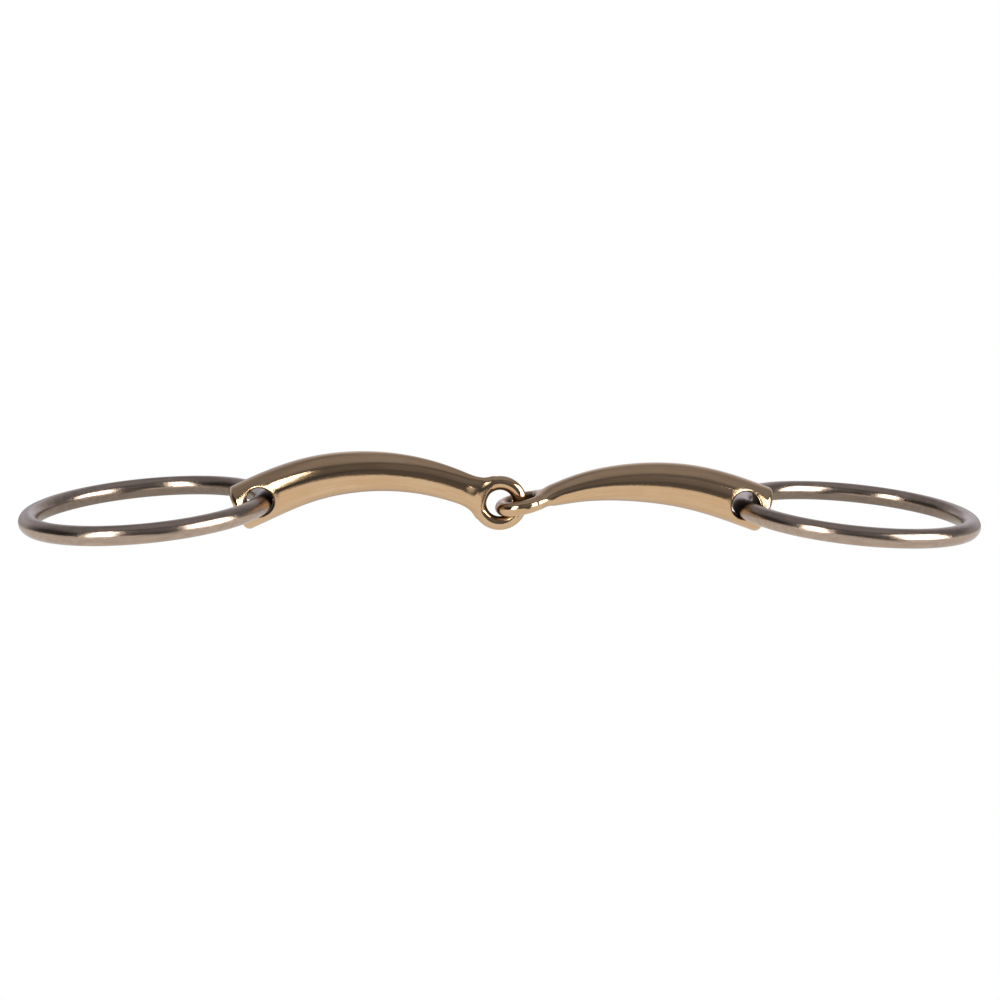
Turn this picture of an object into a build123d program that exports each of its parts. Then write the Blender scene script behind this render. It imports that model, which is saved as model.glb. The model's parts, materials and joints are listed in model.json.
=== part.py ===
from build123d import *
import os
from math import cos, radians, sin, sqrt

# A loose-ring, single-jointed snaffle bit, lying on a flat surface. Millimetres.
# X runs along the bit from the left ring to the right ring, Y points away from
# the front and Z points up. The origin lies on the surface, under the middle.

# Rings: round bar bent into a circle and welded closed
RING_OUTER_DIAMETER = 70.0
WIRE_DIAMETER = 5.4
RING_CENTRE_X = 99.1

# Mouthpiece arms
ARM_DIAMETER = 13.0            # round section at the ring end
NECK_BREADTH = 8.8             # neck size in the plane of the eye
NECK_THICKNESS = 5.5           # neck size across the plane of the eye
RING_HOLE_DIAMETER = 7.8
END_OVERHANG = 7.0             # from the ring hole's axis to the flat end
END_ROUNDING = 1.6
HOLE_ROUNDING = 0.8

# Eyes of the centre joint, both round in section like a chain link
EYE_RADIUS = 5.7               # to the middle of the strand
STRAND_RADIUS = 1.95
EYE_ROOT_BREADTH = 12.2        # where the neck has flared into the eye
EYE_ROOT_THICKNESS = 3.6
EYE_ROOT_REACH = 4.3           # from the eye's centre

# An arm's section shrinks with the distance along it, to these powers
BROAD_TAPER_POWER = 1.3        # in the plane of the eye
NARROW_TAPER_POWER = 2         # across the plane of the eye
BEND_SECTIONS = 8              # sections lofted between the ring hole and the neck

# Centre lines in the XZ plane, from the ring hole to the eye. The left arm is
# arched more deeply than the right one.
LEFT_HOLE = (-67.9, 8.7)
LEFT_CREST = [(-54.0, 14.2), (-38.0, 16.5), (-22.0, 14.9)]
LEFT_NECK = (-10.5, 11.25)
LEFT_EYE = (-1.4, 7.65)
LEFT_END_SLOPE = 25.5          # degrees, at the ring end

RIGHT_HOLE = (66.85, 8.05)
RIGHT_CREST = [(52.0, 12.3), (36.0, 13.6), (20.0, 11.75)]
RIGHT_NECK = (12.0, 9.2)
RIGHT_EYE = (4.85, 7.5)
RIGHT_EYE_TILT = 13.0          # degrees, the loop's plane rises towards the arm
RIGHT_END_SLOPE = 20.0

# How far each wire lies from the axis of the hole it runs through
LEFT_WIRE_DROP = 0.2
RIGHT_WIRE_DROP = 1.05

WIRE_RADIUS = WIRE_DIAMETER / 2
RING_RADIUS = RING_OUTER_DIAMETER / 2 - WIRE_RADIUS


def ring(side, hole, wire_drop):
    """A ring with its outer rim on the surface and its inner side up in the arm's hole."""
    inner_height = hole[1] - wire_drop
    rise = (inner_height - WIRE_RADIUS) / (2 * RING_RADIUS)
    run = sqrt(1 - rise**2)
    centre = (side * RING_CENTRE_X, 0, (inner_height + WIRE_RADIUS) / 2)
    plane = Plane(origin=centre, x_dir=(run, 0, -side * rise), z_dir=(side * rise, 0, run))
    return plane * Torus(RING_RADIUS, WIRE_RADIUS)


def broad_size(t):
    """Section size in the plane of the eye, t from 0 at the ring hole to 1 at the neck."""
    return ARM_DIAMETER - (ARM_DIAMETER - NECK_BREADTH) * t**BROAD_TAPER_POWER


def narrow_size(t):
    """Section size across the plane of the eye."""
    return ARM_DIAMETER - (ARM_DIAMETER - NECK_THICKNESS) * t**NARROW_TAPER_POWER


def section(place, tangent, broad, narrow, eye_axis_is_y):
    """An oval section square to the centre line."""
    across, upright = (narrow, broad) if eye_axis_is_y else (broad, narrow)
    plane = Plane(origin=place, x_dir=(0, 1, 0), z_dir=tangent)
    return plane * Ellipse(across / 2, upright / 2)


def eye_cutter(eye_plane):
    """The space inside an eye, bounded by the round inner side of its strand."""
    mouth = EYE_RADIUS + STRAND_RADIUS
    with BuildPart() as cutter:
        with BuildSketch(Plane.XZ):
            with BuildLine():
                Polyline((EYE_RADIUS, STRAND_RADIUS), (EYE_RADIUS, mouth), (0, mouth),
                         (0, -mouth), (EYE_RADIUS, -mouth), (EYE_RADIUS, -STRAND_RADIUS))
                ThreePointArc((EYE_RADIUS, -STRAND_RADIUS), (EYE_RADIUS - STRAND_RADIUS, 0),
                              (EYE_RADIUS, STRAND_RADIUS))
            make_face()
        revolve(axis=Axis.Z)
    return eye_plane * cutter.part


def arm(side, hole, crest, neck, eye, end_slope, eye_axis_is_y, eye_tilt):
    """One half of the mouthpiece, from its flat end to its eye."""
    slope = radians(end_slope)
    inward = Vector(-side * cos(slope), 0, sin(slope))
    hole_point = Vector(hole[0], 0, hole[1])
    end = hole_point - inward * END_OVERHANG
    eye_point = Vector(eye[0], 0, eye[1])
    neck_point = Vector(neck[0], 0, neck[1])
    into_eye = (eye_point - neck_point).normalized()

    points = [hole_point] + [Vector(x, 0, z) for x, z in crest] + [neck_point]
    line = Spline(*points, tangents=[inward, into_eye])
    sections = [section(end, inward, ARM_DIAMETER, ARM_DIAMETER, eye_axis_is_y)]
    for i in range(BEND_SECTIONS + 1):
        t = i / BEND_SECTIONS
        place = line @ t
        sections.append(section(place, line % t, broad_size(t), narrow_size(t), eye_axis_is_y))
    root = eye_point - into_eye * EYE_ROOT_REACH
    sections.append(section(root, into_eye, EYE_ROOT_BREADTH, EYE_ROOT_THICKNESS, eye_axis_is_y))
    body = loft(sections)
    end_face = body.faces().sort_by_distance(end)[0]
    body = fillet(end_face.edges(), END_ROUNDING)

    if eye_axis_is_y:
        eye_plane = Plane(origin=eye_point, x_dir=(1, 0, 0), z_dir=(0, -1, 0))
    else:
        tilt = radians(eye_tilt)
        eye_plane = Plane(origin=eye_point, x_dir=(cos(tilt), 0, sin(tilt)),
                          z_dir=(-sin(tilt), 0, cos(tilt)))
    body = body + eye_plane * Torus(EYE_RADIUS, STRAND_RADIUS) - eye_cutter(eye_plane)

    hole_plane = Plane(origin=hole_point, x_dir=(1, 0, 0), z_dir=(0, -1, 0))
    body = body - hole_plane * Cylinder(RING_HOLE_DIAMETER / 2, 2 * ARM_DIAMETER)
    hole_wall = body.faces().filter_by(GeomType.CYLINDER).sort_by_distance(hole_point)[0]
    mouths = [edge for edge in hole_wall.edges() if edge.geom_type != GeomType.LINE]
    return fillet(mouths, HOLE_ROUNDING)


nodes = {
    "left_ring": ring(-1, LEFT_HOLE, LEFT_WIRE_DROP),
    "right_ring": ring(1, RIGHT_HOLE, RIGHT_WIRE_DROP),
    "left_arm": arm(-1, LEFT_HOLE, LEFT_CREST, LEFT_NECK, LEFT_EYE, LEFT_END_SLOPE, True, 0),
    "right_arm": arm(1, RIGHT_HOLE, RIGHT_CREST, RIGHT_NECK, RIGHT_EYE, RIGHT_END_SLOPE,
                     False, RIGHT_EYE_TILT),
}

os.makedirs("parts", exist_ok=True)
for name, shape in nodes.items():
    export_step(shape, f"parts/{name}.step")
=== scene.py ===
import json
import math

import bpy
import numpy as np
from mathutils import Matrix, Vector


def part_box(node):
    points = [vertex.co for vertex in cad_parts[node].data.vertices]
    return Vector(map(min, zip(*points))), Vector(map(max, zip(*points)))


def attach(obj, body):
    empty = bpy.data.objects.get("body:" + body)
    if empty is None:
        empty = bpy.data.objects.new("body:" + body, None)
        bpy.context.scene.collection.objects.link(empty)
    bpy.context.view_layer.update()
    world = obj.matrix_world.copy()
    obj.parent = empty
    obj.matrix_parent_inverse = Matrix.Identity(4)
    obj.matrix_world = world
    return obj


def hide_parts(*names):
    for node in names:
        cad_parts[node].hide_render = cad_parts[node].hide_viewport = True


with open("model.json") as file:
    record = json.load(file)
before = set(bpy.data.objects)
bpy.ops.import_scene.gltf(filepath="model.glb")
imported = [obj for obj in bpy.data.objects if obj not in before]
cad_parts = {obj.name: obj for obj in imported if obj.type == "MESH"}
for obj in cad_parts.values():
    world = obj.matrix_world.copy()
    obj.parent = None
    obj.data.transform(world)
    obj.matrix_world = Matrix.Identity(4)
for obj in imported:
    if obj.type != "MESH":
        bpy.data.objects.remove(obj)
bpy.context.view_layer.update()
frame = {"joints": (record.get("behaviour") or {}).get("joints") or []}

# Lengths are millimetres, and MM turns them into Blender's metres. Distances inside the
# floor's and the studio's materials are in metres.
MM = 0.001

# Arms, as in the CAD part
ARM_DIAMETER = 13.0
NECK_BREADTH = 8.8
NECK_THICKNESS = 5.5
BREADTH_TAPER = 1.3        # 1 narrows evenly along the arm, more narrows later
THICKNESS_TAPER = 2
EYE_RADIUS = 5.7           # to the middle of the eye's strand
STRAND_RADIUS = 1.95
ROOT_THICKNESS = 3.8       # of the arm where it ends inside the eye's strand
ROOT_REACH = 4.3           # from the eye's centre
ROOT_LEAD = 1.5            # how far before the neck's end it starts to thin down to the root
ROOT_ROUNDING = 0.5
WEB_REACH = 12.5           # the neck starts to widen this far from the eye's centre
END_OVERHANG = 7.0         # from the ring hole's centre to the end face
END_ROUNDING = 1.6
RING_HOLE_RADIUS = 3.9
HOLE_ROUNDING = 0.8
EYE_FILLET = 0.9

# Rings
RING_RADIUS = 32.3         # to the middle of the bar
WIRE_RADIUS = 2.7

# Mesh fineness
GRID = 0.26                # across an arm
GRID_ALONG = 0.6           # along an arm's plain bend
GRID_FINE = 0.23           # along its ends
GRID_MARGIN = 3            # cells left free round the arm
RELAX_ROUNDS = 3
RELAX_SHARE = 0.6          # how far a vertex moves to the middle of its neighbours
SMALL_STEP = 0.01          # for slopes of the distance
END_SPAN = 9.0             # how far the fine stretch reaches on each side of the ring hole
EYE_SPAN = 9.0             # and of the eye, on the free side
NECK_SPAN = 20.0           # and of the eye, on the neck's side
LINE_STEPS = 1500          # points on an arm's centre line
LINE_TRIES = 4             # rounds of finding the nearest point on the centre line
RING_TURNS = 288           # vertices round the ring
RING_ROUNDS = 48           # vertices round its bar


def joint_place(name):
    """Where a joint's axis crosses the XZ plane, in millimetres."""
    joint = next(j for j in frame["joints"] if j["name"] == name)
    x, _, z = joint["pos_m"]
    return np.array([x, z]) / MM


# ---------------------------------------------------------------- arm shape

def smooth_line(points, start_direction, end_direction, steps):
    """A curve through points that leaves and arrives in the given directions."""
    points = np.array(points, float)
    chord = np.linalg.norm(np.diff(points, axis=0), axis=1)
    knots = np.concatenate([[0], np.cumsum(chord)])
    count = len(points)
    system = np.zeros((count, count))
    wanted = np.zeros((count, 2))
    system[0, 0] = system[-1, -1] = 1
    wanted[0], wanted[-1] = start_direction, end_direction
    for i in range(1, count - 1):
        before, after = chord[i - 1], chord[i]
        system[i, i - 1:i + 2] = after, 2 * (before + after), before
        wanted[i] = 3 * (after / before * (points[i] - points[i - 1])
                         + before / after * (points[i + 1] - points[i]))
    slopes = np.linalg.solve(system, wanted)
    at = np.linspace(0, knots[-1], steps)
    i = np.clip(np.searchsorted(knots, at, side="right") - 1, 0, count - 2)
    u = ((at - knots[i]) / chord[i])[:, None]
    length = chord[i][:, None]
    return (points[i] * (1 + 2 * u) * (1 - u)**2 + slopes[i] * length * u * (1 - u)**2
            + points[i + 1] * u**2 * (3 - 2 * u) + slopes[i + 1] * length * u**2 * (u - 1))


def smoothstep(low, high, value):
    """0 below low, 1 above high, smooth between."""
    t = np.clip((value - low) / (high - low), 0, 1)
    return t * t * (3 - 2 * t)


def round_max(a, b, radius):
    """Where two shapes meet, with the sharp edge rounded."""
    return (np.minimum(np.maximum(a, b), -radius)
            + np.hypot(np.maximum(a + radius, 0), np.maximum(b + radius, 0)))


def round_min(a, b, radius):
    """Two shapes joined, with the inner corner filled."""
    return (np.maximum(np.minimum(a, b), radius)
            - np.hypot(np.maximum(radius - a, 0), np.maximum(radius - b, 0)))


class Arm:
    """Half of the mouthpiece as a distance field: negative inside the metal."""

    def __init__(self, side, hole, crest, neck, eye, end_slope, eye_tilt):
        """Places are X and Z, the slope and tilt are in degrees, and a tilt of None
        stands the eye upright."""
        slope = math.radians(end_slope)
        self.inward = np.array([-side * math.cos(slope), math.sin(slope)])
        self.hole = np.array(hole)
        self.eye = np.array(eye)
        self.end = self.hole - self.inward * END_OVERHANG
        into_eye = self.eye - np.array(neck)
        into_eye /= np.linalg.norm(into_eye)
        root = self.eye - into_eye * ROOT_REACH
        bend = smooth_line([hole] + crest + [neck], self.inward, into_eye, LINE_STEPS)
        self.line = np.vstack([self.hole - self.inward * 2 * END_OVERHANG, bend,
                               root, self.eye])
        step = np.linalg.norm(np.diff(self.line, axis=0), axis=1)
        self.length_at = np.concatenate([[0], np.cumsum(step)]) - step[0]
        self.heading = np.gradient(self.line, self.length_at, axis=0)
        self.heading /= np.linalg.norm(self.heading, axis=1, keepdims=True)
        self.neck_at = self.length_at[-3]
        self.root_at = self.length_at[-2]
        self.into_eye = into_eye
        # the eye's axis: along Y when upright, nearly vertical when lying flat
        self.upright = eye_tilt is None
        tilt = math.radians(eye_tilt or 0)
        self.eye_axis = (np.array([0, 1, 0]) if self.upright
                         else np.array([-math.sin(tilt), 0, math.cos(tilt)]))

    def along_and_off(self, xz):
        """Distance along the centre line, and how far off it to its left side."""
        forward = self.line[-1, 0] > self.line[0, 0]
        order = slice(None) if forward else slice(None, None, -1)
        along = np.interp(xz[:, 0], self.line[order, 0], self.length_at[order])
        for _ in range(LINE_TRIES):
            on_line = self.at(self.line, along)
            heading = self.at(self.heading, along)
            along += ((xz - on_line) * heading).sum(1)
            along = np.clip(along, self.length_at[0], self.length_at[-1])
        gap = xz - self.at(self.line, along)
        heading = self.at(self.heading, along)
        side = heading[:, 0] * gap[:, 1] - heading[:, 1] * gap[:, 0]
        return along, np.hypot(gap[:, 0], gap[:, 1]) * np.sign(side)

    def at(self, column_pair, along):
        """A value kept for each point of the centre line, at any distance along it."""
        return np.stack([np.interp(along, self.length_at, column)
                         for column in column_pair.T], 1)

    def neck_size(self, along):
        """Breadth in the plane of the eye, and thickness across it."""
        t = np.maximum(along / self.neck_at, 0)
        broad = ARM_DIAMETER - (ARM_DIAMETER - NECK_BREADTH) * t**BREADTH_TAPER
        narrow = ARM_DIAMETER - (ARM_DIAMETER - NECK_THICKNESS) * t**THICKNESS_TAPER
        narrow = np.maximum(narrow, ROOT_THICKNESS)
        thinning = smoothstep(self.neck_at - ROOT_LEAD, self.root_at, along)
        narrow += (ROOT_THICKNESS - narrow) * thinning
        # a web that leaves the eye's outline on a tangent and runs into the neck
        rim = EYE_RADIUS + STRAND_RADIUS
        half = math.sqrt(rim**2 - ROOT_REACH**2)
        span = WEB_REACH - ROOT_REACH
        u = np.clip((self.length_at[-1] - along - ROOT_REACH) / span, 0, 1)
        web = half * (1 + 2 * u) - span * u * ROOT_REACH / half
        web = web * (1 - u)**2 + broad / 2 * u**2 * (3 - 2 * u)
        return np.where(u < 1, 2 * web, broad), narrow

    def distance(self, points):
        """Signed distance, close to exact near the surface."""
        along, off = self.along_and_off(points[:, [0, 2]])
        broad, narrow = self.neck_size(along)
        across, tall = (narrow, broad) if self.upright else (broad, narrow)
        u, v = 2 * points[:, 1] / across, 2 * off / tall
        reach = np.hypot(u, v) + 1e-9
        body = (reach - 1) * reach / np.hypot(2 * u / across, 2 * v / tall).clip(1e-9)
        rel = points - np.array([self.end[0], 0, self.end[1]])
        inward = np.array([self.inward[0], 0, self.inward[1]])
        body = round_max(body, -(rel @ inward), END_ROUNDING)
        rel = points - np.array([self.eye[0], 0, self.eye[1]])
        into_eye = np.array([self.into_eye[0], 0, self.into_eye[1]])
        body = round_max(body, rel @ into_eye + ROOT_REACH, ROOT_ROUNDING)
        eye = np.hypot(self.eye_radius(points) - EYE_RADIUS, rel @ self.eye_axis) - STRAND_RADIUS
        body = round_min(body, eye, EYE_FILLET)
        dx, dz = points[:, 0] - self.hole[0], points[:, 2] - self.hole[1]
        return round_max(body, RING_HOLE_RADIUS - np.hypot(dx, dz), HOLE_ROUNDING)

    def eye_radius(self, points):
        """Distance from the axis of the eye."""
        rel = points - np.array([self.eye[0], 0, self.eye[1]])
        height = rel @ self.eye_axis
        return np.sqrt(np.maximum((rel * rel).sum(1) - height**2, 0))

    def gradient(self, points):
        """Which way the distance grows: outwards from the surface."""
        steps = SMALL_STEP * np.eye(3)
        slopes = [self.distance(points + step) - self.distance(points - step) for step in steps]
        return np.stack(slopes, 1) / (2 * SMALL_STEP)

    def pull(self, points):
        """Moves points that are near the surface onto it."""
        here = self.distance(points)
        slopes = [self.distance(points + step) - here for step in SMALL_STEP * np.eye(3)]
        slope = np.stack(slopes, 1) / SMALL_STEP
        return points - here[:, None] * slope / (slope * slope).sum(1, keepdims=True).clip(1e-6)

    def grid_lines(self, low, high):
        """Where the grid's planes lie on each axis, closer together near the hole and the eye."""
        neck_side = -1 if self.eye[0] > self.hole[0] else 1
        eye_span = sorted((self.eye[0] - neck_side * EYE_SPAN, self.eye[0] + neck_side * NECK_SPAN))
        hole_span = (self.hole[0] - END_SPAN, self.hole[0] + END_SPAN)
        along = [low[0]]
        while along[-1] < high[0]:
            x = along[-1]
            fine = any(a <= x <= b for a, b in (eye_span, hole_span))
            along.append(x + (GRID_FINE if fine else GRID_ALONG))
        return [np.array(along)] + [np.arange(low[i], high[i] + GRID, GRID) for i in (1, 2)]


def surface_mesh(field, axes):
    """Quads over a distance field's zero surface: one vertex per crossed grid cell."""
    shape = tuple(len(a) for a in axes)
    grid = np.stack(np.meshgrid(*axes, indexing="ij"), -1).reshape(-1, 3)
    values = field.distance(grid).reshape(shape)
    inside = values < 0
    cells = tuple(n - 1 for n in shape)
    total = np.zeros(cells + (3,))
    hits = np.zeros(cells)
    corners = [(i, j, k) for i in (0, 1) for j in (0, 1) for k in (0, 1)]

    def corner(array, c):
        return array[c[0]:c[0] + cells[0], c[1]:c[1] + cells[1], c[2]:c[2] + cells[2]]

    for a in corners:
        for axis in range(3):
            if a[axis]:
                continue
            b = tuple(a[i] + (i == axis) for i in range(3))
            va, vb = corner(values, a), corner(values, b)
            crossed = (va < 0) != (vb < 0)
            share = np.where(crossed, va / np.where(crossed, va - vb, 1), 0)
            for i in range(3):
                total[..., i] += crossed * (a[i] + (share if i == axis else 0))
            hits += crossed
    used = hits > 0
    number = np.full(cells, -1)
    number[used] = np.arange(used.sum())
    place = np.argwhere(used) + total[used] / hits[used][:, None]
    vertices = np.stack([np.interp(place[:, i], np.arange(shape[i]), axes[i])
                         for i in range(3)], 1)

    faces = []
    for axis in range(3):
        p, q = (axis + 1) % 3, (axis + 2) % 3
        ahead = np.roll(inside, -1, axis)
        crossed = inside != ahead
        edge = np.argwhere(crossed)
        keep = np.all(edge > 0, 1) & (edge[:, axis] < shape[axis] - 1)
        keep &= (edge[:, p] < shape[p] - 1) & (edge[:, q] < shape[q] - 1)
        edge = edge[keep]
        quad = []
        for dp, dq in ((1, 1), (0, 1), (0, 0), (1, 0)):
            cell = edge.copy()
            cell[:, p] -= dp
            cell[:, q] -= dq
            quad.append(number[tuple(cell.T)])
        quad = np.stack(quad, 1)
        outward = inside[tuple(edge.T)]
        quad[~outward] = quad[~outward][:, ::-1]
        faces.append(quad)
    return vertices, np.vstack(faces)


def relax(field, vertices, faces):
    """Evens out the vertices, and puts them back on the exact surface each time."""
    edges = np.vstack([faces[:, [i, (i + 1) % 4]] for i in range(4)])
    count = np.bincount(edges.ravel(), minlength=len(vertices))[:, None]
    vertices = field.pull(field.pull(vertices))
    for _ in range(RELAX_ROUNDS):
        total = np.stack([np.bincount(edges[:, 0], vertices[edges[:, 1], i], len(vertices))
                          + np.bincount(edges[:, 1], vertices[edges[:, 0], i], len(vertices))
                          for i in range(3)], 1)
        middle = total / count
        vertices = field.pull(vertices * (1 - RELAX_SHARE) + middle * RELAX_SHARE)
    return field.pull(vertices)


def add_mesh(name, vertices, faces, normals=None):
    """An object from millimetres, with its own shading directions if they are given."""
    mesh = bpy.data.meshes.new(name)
    mesh.from_pydata((vertices * MM).tolist(), [], faces.tolist())
    mesh.shade_smooth()
    if normals is not None:
        mesh.normals_split_custom_set_from_vertices(normals.tolist())
    piece = bpy.data.objects.new(name, mesh)
    bpy.context.scene.collection.objects.link(piece)
    return piece


def store(piece, name, values):
    """Keeps numbers on the vertices for the material to read."""
    kind = "FLOAT_VECTOR" if values.ndim == 2 else "FLOAT"
    attribute = piece.data.attributes.new(name, kind, "POINT")
    key = "vector" if values.ndim == 2 else "value"
    attribute.data.foreach_set(key, values.astype(np.float32).ravel())


TURN_FACING = (0.10, 0.26)  # upward share of a direction where the turn starts and is full


def turned(normals, degrees):
    """Shading directions turned about the vertical where they face upwards."""
    angle = math.radians(degrees) * smoothstep(*TURN_FACING, normals[:, 2])
    c, s = np.cos(angle), np.sin(angle)
    return np.stack([c * normals[:, 0] - s * normals[:, 1],
                     s * normals[:, 0] + c * normals[:, 1], normals[:, 2]], 1)


def build_arm(name, node, arm, highlight_turn):
    """An arm's piece, with what its material reads: grain runs along, across and off the
    centre line, bore and in_eye are 1 inside the ring hole and the eye, and mouth is 1 on
    the ring hole's lip."""
    low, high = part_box(node)
    margin = GRID_MARGIN * GRID
    axes = arm.grid_lines(np.array(low) / MM - margin, np.array(high) / MM + margin)
    vertices, faces = surface_mesh(arm, axes)
    vertices = relax(arm, vertices, faces)
    normals = arm.gradient(vertices)
    normals /= np.linalg.norm(normals, axis=1, keepdims=True)
    piece = add_mesh(name, vertices, faces, turned(normals, highlight_turn))
    along, off = arm.along_and_off(vertices[:, [0, 2]])
    store(piece, "grain", np.stack([along, vertices[:, 1], off], 1))
    from_axis = np.hypot(vertices[:, 0] - arm.hole[0], vertices[:, 2] - arm.hole[1])
    bore_edge = RING_HOLE_RADIUS + HOLE_ROUNDING / 2
    store(piece, "bore", 1 - smoothstep(RING_HOLE_RADIUS, bore_edge, from_axis))
    lip = RING_HOLE_RADIUS + 1.3 * HOLE_ROUNDING
    store(piece, "mouth", np.exp(-((from_axis - lip) / HOLE_ROUNDING)**2))
    eye_wall, strand_top = EYE_RADIUS - STRAND_RADIUS + 0.1, EYE_RADIUS - 0.5
    store(piece, "in_eye", 1 - smoothstep(eye_wall, strand_top, arm.eye_radius(vertices)))
    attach(piece, node)
    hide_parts(node)
    return piece


# ---------------------------------------------------------------- ring shape

def build_ring(name, node):
    """A round bar closed into a circle, lying as the CAD ring lies."""
    low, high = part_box(node)
    low, high = np.array(low) / MM, np.array(high) / MM
    side = 1 if low[0] + high[0] > 0 else -1
    centre = (low + high) / 2
    rise = (high[2] - low[2] - 2 * WIRE_RADIUS) / (2 * RING_RADIUS)
    run = math.sqrt(1 - rise**2)
    outward = np.array([side * run, 0, -rise])
    depth = np.array([0, 1, 0])
    up = np.array([side * rise, 0, run])
    turns, rounds = RING_TURNS, RING_ROUNDS
    a = np.arange(turns) * 2 * np.pi / turns
    b = np.arange(rounds) * 2 * np.pi / rounds
    a, b = [m.ravel() for m in np.meshgrid(a, b, indexing="ij")]
    radial = np.cos(a)[:, None] * outward + np.sin(a)[:, None] * depth
    normals = np.cos(b)[:, None] * radial + np.sin(b)[:, None] * up
    vertices = centre + RING_RADIUS * radial + WIRE_RADIUS * normals
    i, j = [m.ravel() for m in np.meshgrid(np.arange(turns), np.arange(rounds), indexing="ij")]
    i2, j2 = (i + 1) % turns, (j + 1) % rounds
    faces = np.stack([i * rounds + j, i2 * rounds + j, i2 * rounds + j2, i * rounds + j2], 1)
    if side < 0:
        faces = faces[:, ::-1]
    piece = add_mesh(name, vertices, faces, normals)
    store(piece, "grain", np.stack([np.cos(a) * RING_RADIUS, np.sin(a) * RING_RADIUS,
                                    WIRE_RADIUS * b], 1))
    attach(piece, node)
    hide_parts(node)
    return piece


left_arm = Arm(side=-1, hole=joint_place("left_ring_swing"),
               crest=[(-54.0, 14.2), (-38.0, 16.5), (-22.0, 14.9)], neck=(-10.5, 11.25),
               eye=joint_place("centre_fold"), end_slope=25.5, eye_tilt=None)
right_arm = Arm(side=1, hole=joint_place("right_ring_swing"),
                crest=[(52.0, 12.3), (36.0, 13.6), (20.0, 11.75)], neck=(12.0, 9.5),
                eye=(4.85, 7.5), end_slope=20.0, eye_tilt=13.0)
arms = [build_arm("left_arm_polished", "left_arm", left_arm, -8.5),
        build_arm("right_arm_polished", "right_arm", right_arm, 0.0)]
rings = [build_ring("left_ring_bar", "left_ring"),
         build_ring("right_ring_bar", "right_ring")]


# ---------------------------------------------------------------- materials

class Nodes:
    """Short names for building a node tree."""

    def __init__(self, tree):
        self.tree = tree
        tree.nodes.clear()

    def add(self, kind, inputs=None, **settings):
        """A node with its inputs linked, or set to plain values."""
        node = self.tree.nodes.new(kind)
        for key, value in settings.items():
            setattr(node, key, value)
        for key, value in (inputs or {}).items():
            self.set(node.inputs[key], value)
        return node

    def set(self, socket, value):
        if isinstance(value, bpy.types.NodeSocket):
            self.tree.links.new(value, socket)
        else:
            socket.default_value = value

    def math(self, operation, a, b=0.0):
        return self.add("ShaderNodeMath", {0: a, 1: b}, operation=operation).outputs[0]

    def ramp_between(self, value, low, high):
        """0 at low, 1 at high, smooth between. low may be the greater."""
        node = self.add("ShaderNodeMapRange", {"Value": value, "From Min": low,
                        "From Max": high}, interpolation_type="SMOOTHSTEP")
        return node.outputs["Result"]

    def remap(self, value, low, high, to_low, to_high):
        node = self.add("ShaderNodeMapRange", {"Value": value, "From Min": low, "From Max": high,
                        "To Min": to_low, "To Max": to_high})
        return node.outputs["Result"]

    def noise(self, place, scale, detail=2.0, rough=0.5):
        node = self.add("ShaderNodeTexNoise", {"Vector": place, "Scale": scale,
                        "Detail": detail, "Roughness": rough})
        return node.outputs["Fac"]

    def stretched(self, place, scale):
        """A place scaled by three factors, so that a texture on it is stretched."""
        node = self.add("ShaderNodeVectorMath", {0: place, 1: scale}, operation="MULTIPLY")
        return node.outputs["Vector"]

    def mix_colour(self, share, a, b):
        node = self.add("ShaderNodeMix", {"Factor": share, 6: a, 7: b}, data_type="RGBA")
        return node.outputs[2]

    def bump(self, height, distance, strength, normal=None):
        inputs = {"Height": height, "Distance": distance, "Strength": strength}
        if normal is not None:
            inputs["Normal"] = normal
        return self.add("ShaderNodeBump", inputs).outputs["Normal"]

    def attribute(self, name, output):
        return self.add("ShaderNodeAttribute", attribute_name=name).outputs[output]


BORE_SHADE_COLOUR = (0.07, 0.057, 0.048, 1)      # painted shade inside the ring holes, whose unpolished walls are also rougher
IN_EYE_COLOUR = (0.19, 0.13, 0.085, 1)     # darker, inside the eyes


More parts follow.
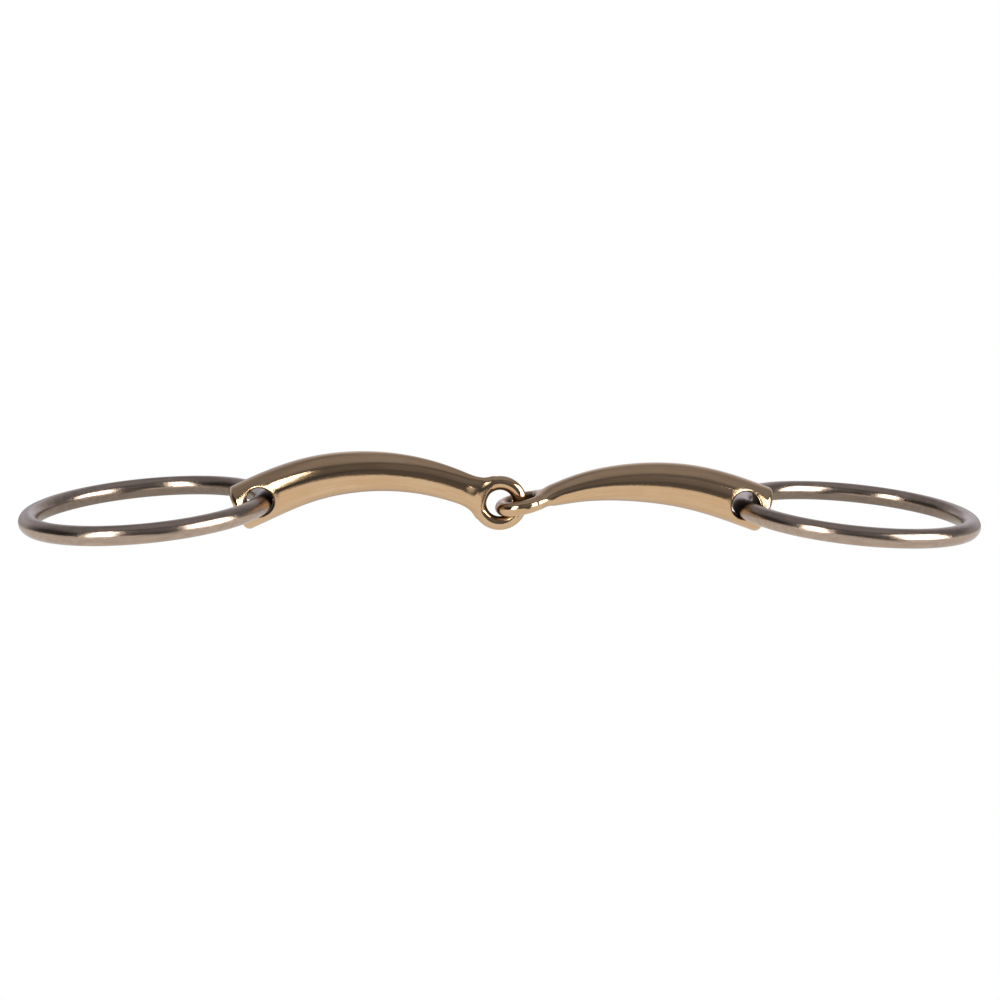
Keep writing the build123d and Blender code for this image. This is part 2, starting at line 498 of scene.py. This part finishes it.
def polished_metal(name, tone, deep_tone, roughness, waviness, scratch):
    """Metal buffed along its length: broad waves, drawn lines, and fine hairline scratches."""
    material = bpy.data.materials.new(name)
    material.use_nodes = True
    n = Nodes(material.node_tree)
    grain = n.attribute("grain", "Vector")
    wave = n.noise(n.stretched(grain, (0.05, 0.16, 0.16)), 1.0, 1.0, 0.4)
    drawn = n.noise(n.stretched(grain, (0.025, 0.9, 0.9)), 1.0, 2.0, 0.55)
    lines = n.noise(n.stretched(grain, (0.05, 2.2, 2.2)), 1.6, 3.0, 0.6)
    hair = n.noise(n.stretched(grain, (0.3, 6.0, 6.0)), 3.0, 2.0, 0.6)
    smear = n.noise(grain, 0.25, 3.0, 0.6)
    share = n.ramp_between(n.math("ADD", n.math("MULTIPLY", drawn, 0.7),
                                  n.math("MULTIPLY", smear, 0.3)), 0.38, 0.66)
    colour = n.mix_colour(share, deep_tone, tone)
    bore = n.attribute("bore", "Fac")
    mouth = n.attribute("mouth", "Fac")
    in_eye = n.attribute("in_eye", "Fac")
    # painted shade darkens the colour inside the ring holes
    colour = n.mix_colour(bore, colour, BORE_SHADE_COLOUR)
    # darker colour inside the eyes
    colour = n.mix_colour(in_eye, colour, IN_EYE_COLOUR)
    rough = n.remap(hair, 0.3, 0.7, roughness * 0.7, roughness * 1.4)
    rough = n.math("ADD", rough, n.math("MULTIPLY", n.ramp_between(smear, 0.5, 0.75),
                                        roughness * 0.5))
    rough = n.math("ADD", rough, n.math("MULTIPLY", bore, 0.35))
    rough = n.math("ADD", rough, n.math("MULTIPLY", in_eye, 0.12))
    nicks = n.math("MULTIPLY", n.noise(grain, 2.2, 3.0, 0.7), mouth)
    normal = n.bump(wave, 0.001, waviness)
    normal = n.bump(lines, 0.00005, scratch, normal)
    normal = n.bump(hair, 0.00002, scratch, normal)
    normal = n.bump(nicks, 0.0002, 0.4, normal)
    shader = n.add("ShaderNodeBsdfPrincipled", {"Base Color": colour, "Metallic": 1.0,
                   "Roughness": rough, "Normal": normal})
    n.add("ShaderNodeOutputMaterial", {"Surface": shader.outputs[0]})
    return material


golden = polished_metal("golden_alloy_polished", tone=(0.80, 0.55, 0.33, 1),
                        deep_tone=(0.74, 0.485, 0.27, 1), roughness=0.06, waviness=0.12,
                        scratch=0.25)
steel = polished_metal("stainless_steel_polished", tone=(0.56, 0.43, 0.33, 1),
                       deep_tone=(0.48, 0.365, 0.285, 1), roughness=0.16, waviness=0.08,
                       scratch=0.35)
for piece in arms:
    piece.data.materials.append(golden)
for piece in rings:
    piece.data.materials.append(steel)


# ---------------------------------------------------------------- studio

FLOOR_HALF = 3.0           # metres
FLOOR_IN_METAL = 0.76      # how bright the white floor looks in the metal
FRONT_IN_FLOOR = 0.10      # and the dark front of the studio, a painted reflection in it


def build_floor():
    """A plain white floor. In the metal it carries a painted shadow of the bit behind it, and a
    painted reflection of the dark front of the studio where it is seen at a low angle. It is clear
    from below and to the camera, which sees the same white beyond it, so a piece that swings under
    it shows."""
    half = FLOOR_HALF
    mesh = bpy.data.meshes.new("floor")
    mesh.from_pydata([(-half, -half, 0), (half, -half, 0), (half, half, 0), (-half, half, 0)],
                     [], [(0, 1, 2, 3)])
    floor = bpy.data.objects.new("floor", mesh)
    bpy.context.scene.collection.objects.link(floor)
    floor.visible_camera = False
    material = bpy.data.materials.new("floor_white")
    material.use_nodes = True
    n = Nodes(material.node_tree)
    geometry = n.add("ShaderNodeNewGeometry")
    place = n.add("ShaderNodeSeparateXYZ", {"Vector": geometry.outputs["Position"]})
    # painted shadow of the bit, dimming the floor behind it
    shaded = n.ramp_between(place.outputs["Y"], -0.008, 0.022)
    level = n.remap(shaded, 0, 1, FLOOR_IN_METAL, 0.5 * FLOOR_IN_METAL)
    # how steeply, and how far to the left, the ray that sees the floor comes down
    back = n.add("ShaderNodeSeparateXYZ", {"Vector": geometry.outputs["Incoming"]})
    forward = n.math("MAXIMUM", back.outputs["Y"], 0.001)
    fall = n.math("DIVIDE", back.outputs["Z"], forward)
    aside = n.math("MULTIPLY", n.math("DIVIDE", back.outputs["X"], forward), -1.0)
    edge = n.math("ADD", n.math("MAXIMUM", aside, 0.0), 0.045)
    # painted reflection of the dark front of the studio in the floor
    dark = n.ramp_between(n.math("SUBTRACT", fall, edge), 0.025, -0.025)
    dark = n.math("MULTIPLY", dark, n.ramp_between(aside, -0.22, -0.08))
    dark = n.math("MULTIPLY", dark, n.ramp_between(aside, 0.75, 0.5))
    level = n.math("ADD", n.math("MULTIPLY", level, n.math("SUBTRACT", 1.0, dark)),
                   n.math("MULTIPLY", dark, FRONT_IN_FLOOR))
    white = n.add("ShaderNodeEmission", {"Strength": level})
    clear = n.add("ShaderNodeBsdfTransparent")
    shader = n.add("ShaderNodeMixShader", {0: geometry.outputs["Backfacing"],
                   1: white.outputs[0], 2: clear.outputs[0]})
    n.add("ShaderNodeOutputMaterial", {"Surface": shader.outputs[0]})
    mesh.materials.append(material)


def direction(azimuth, elevation):
    """A unit vector. Azimuth 0 is the front (-Y) and 90 is the right (+X), in degrees."""
    a, e = math.radians(azimuth), math.radians(elevation)
    return Vector((math.sin(a) * math.cos(e), -math.cos(a) * math.cos(e), math.sin(e)))


PANEL_FOOT = -20           # height of the panels' lower edge
PANEL_GRID = 13            # vertices along each side of a panel
SECOND_STRENGTH = 0.5      # how bright a panel is where the metal mirrors itself


def build_panel(name, inner, outer, tops, lean, strength, soft):
    """A light panel turned to face the bit, seen only in the metal. inner and outer are its
    ends in X and Y, tops their heights, lean how far its top stands over along X. Its edges
    fade over the share soft of its size."""
    count = PANEL_GRID
    u, v = [m.ravel() for m in np.meshgrid(*[np.linspace(0, 1, count)] * 2, indexing="ij")]
    x, y, top = [low + (high - low) * u for low, high in zip((*inner, tops[0]), (*outer, tops[1]))]
    vertices = np.stack([x + lean * v, y, PANEL_FOOT + (top - PANEL_FOOT) * v], 1)
    i, j = [m.ravel() for m in np.meshgrid(*[np.arange(count - 1)] * 2, indexing="ij")]
    corner = i * count + j
    faces = np.stack([corner, corner + count, corner + count + 1, corner + 1], 1)
    panel = add_mesh(name, vertices, faces)
    store(panel, "across", np.stack([u, v, v], 1))
    panel.visible_camera = False
    material = bpy.data.materials.new(name)
    material.use_nodes = True
    n = Nodes(material.node_tree)
    parts = n.add("ShaderNodeSeparateXYZ", {"Vector": n.attribute("across", "Vector")})
    mask = 1.0
    for axis in "XY":
        from_edge = n.math("SUBTRACT", 0.5,
                           n.math("ABSOLUTE", n.math("SUBTRACT", parts.outputs[axis], 0.5)))
        mask = n.math("MULTIPLY", n.ramp_between(from_edge, 0.0, soft), mask)
    bounces = n.add("ShaderNodeLightPath").outputs["Ray Depth"]
    glow = n.remap(bounces, 1, 2, strength, SECOND_STRENGTH)
    light = n.add("ShaderNodeEmission", {"Strength": glow})
    clear = n.add("ShaderNodeBsdfTransparent")
    shader = n.add("ShaderNodeMixShader", {0: mask, 1: clear.outputs[0], 2: light.outputs[0]})
    n.add("ShaderNodeOutputMaterial", {"Surface": shader.outputs[0]})
    panel.data.materials.append(material)


# How bright the studio is from the front, over the top, to the back: (degrees, brightness)
STUDIO_PITCH = [(0, 0.10), (15, 0.10), (28, 0.17), (42, 0.16), (52, 0.12), (64, 0.17),
                (78, 0.29), (105, 0.29), (125, 0.25), (145, 0.38), (165, 0.65)]

STUDIO_TINT = (1.0, 1.03, 1.18, 1)     # cooler than the floor
SIDES = 0.5                # brightness of the studio's sides, as a share of its middle
CORNER = 0.25              # of its low left corner
GAP = 0.75                 # of the gap beside the left panel


def build_world():
    """White to the camera. In the metal it is a dim studio, with a white floor below."""
    world = bpy.data.worlds.new("studio")
    bpy.context.scene.world = world
    world.use_nodes = True
    n = Nodes(world.node_tree)
    ray = n.add("ShaderNodeTexCoord").outputs["Generated"]
    parts = n.add("ShaderNodeSeparateXYZ", {"Vector": ray})
    x, y, z = [parts.outputs[k] for k in "XYZ"]
    pitch = n.math("ARCTAN2", z, n.math("MULTIPLY", y, -1.0))
    pitch = n.math("DIVIDE", pitch, math.pi)
    wobble = n.noise(n.stretched(ray, (1.2, 3.5, 3.5)), 1.0, 3.0, 0.55)
    pitch = n.math("ADD", pitch, n.remap(wobble, 0.2, 0.8, -0.05, 0.05))
    ramp = n.add("ShaderNodeValToRGB", {"Fac": pitch})
    stops = ramp.color_ramp.elements
    while len(stops) < len(STUDIO_PITCH):
        stops.new(0.5)
    for stop, (degrees, bright) in zip(stops, STUDIO_PITCH):
        stop.position = degrees / 180
        stop.color = (bright, bright, bright, 1)
    side = n.ramp_between(n.math("ABSOLUTE", x), 0.25, 0.95)
    level = n.math("MULTIPLY", ramp.outputs["Color"], n.remap(side, 0, 1, 1.0, SIDES))
    corner = n.math("MULTIPLY", n.ramp_between(x, -0.72, -0.9), n.ramp_between(z, 0.8, 0.45))
    level = n.math("MULTIPLY", level, n.remap(corner, 0, 1, 1.0, CORNER))
    gap = n.math("MULTIPLY", n.ramp_between(x, -0.02, -0.14), n.ramp_between(x, -0.55, -0.4))
    gap = n.math("MULTIPLY", gap, n.ramp_between(z, 0.88, 0.72))
    level = n.math("MULTIPLY", level, n.remap(gap, 0, 1, 1.0, GAP))
    bands = n.noise(n.stretched(ray, (0.5, 9.0, 9.0)), 1.0, 3.0, 0.6)
    level = n.math("MULTIPLY", level, n.remap(bands, 0.3, 0.7, 0.78, 1.22))
    below = n.ramp_between(z, -0.01, -0.03)
    level = n.math("ADD", n.math("MULTIPLY", level, n.math("SUBTRACT", 1.0, below)),
                   n.math("MULTIPLY", below, FLOOR_IN_METAL))
    seen = n.add("ShaderNodeLightPath").outputs["Is Camera Ray"]
    tint = n.mix_colour(n.math("MAXIMUM", seen, below), STUDIO_TINT, (1, 1, 1, 1))
    level = n.math("MAXIMUM", level, seen)
    shader = n.add("ShaderNodeBackground", {"Color": tint, "Strength": level})
    n.add("ShaderNodeOutputWorld", {"Surface": shader.outputs[0]})


def build_camera(yaw, elevation, roll, distance, lens, target):
    """Looks at target from the front, a little above. Angles are in degrees."""
    back = direction(yaw, elevation)
    right = (-back).cross(Vector((0, 0, 1))).normalized()
    up = right.cross(-back)
    c, s = math.cos(math.radians(roll)), math.sin(math.radians(roll))
    right, up = c * right + s * up, -s * right + c * up
    data = bpy.data.cameras.new("camera")
    data.lens = lens
    data.sensor_width = 36
    data.clip_start, data.clip_end = 0.01, 10
    camera = bpy.data.objects.new("camera", data)
    bpy.context.scene.collection.objects.link(camera)
    camera.matrix_world = (Matrix.Translation((Vector(target) + back * distance) * MM)
                           @ Matrix((right, up, back)).transposed().to_4x4())
    bpy.context.scene.camera = camera


build_floor()
build_world()
build_panel("left_light", inner=(-595, -960), outer=(-980, -740), tops=(1220, 1430),
            lean=-195, strength=7.0, soft=0.03)
build_panel("left_light_side", inner=(-445, -975), outer=(-597, -962), tops=(800, 1000),
            lean=-150, strength=0.75, soft=0.15)
build_panel("right_light", inner=(870, -1213), outer=(1400, -200), tops=(1350, 1200),
            lean=0, strength=6.0, soft=0.03)
build_camera(yaw=-4.51, elevation=11.28, roll=1.01, distance=731.3, lens=94.59,
             target=(-1.34, 0, 8.49))
bpy.context.scene.view_settings.view_transform = "Standard"
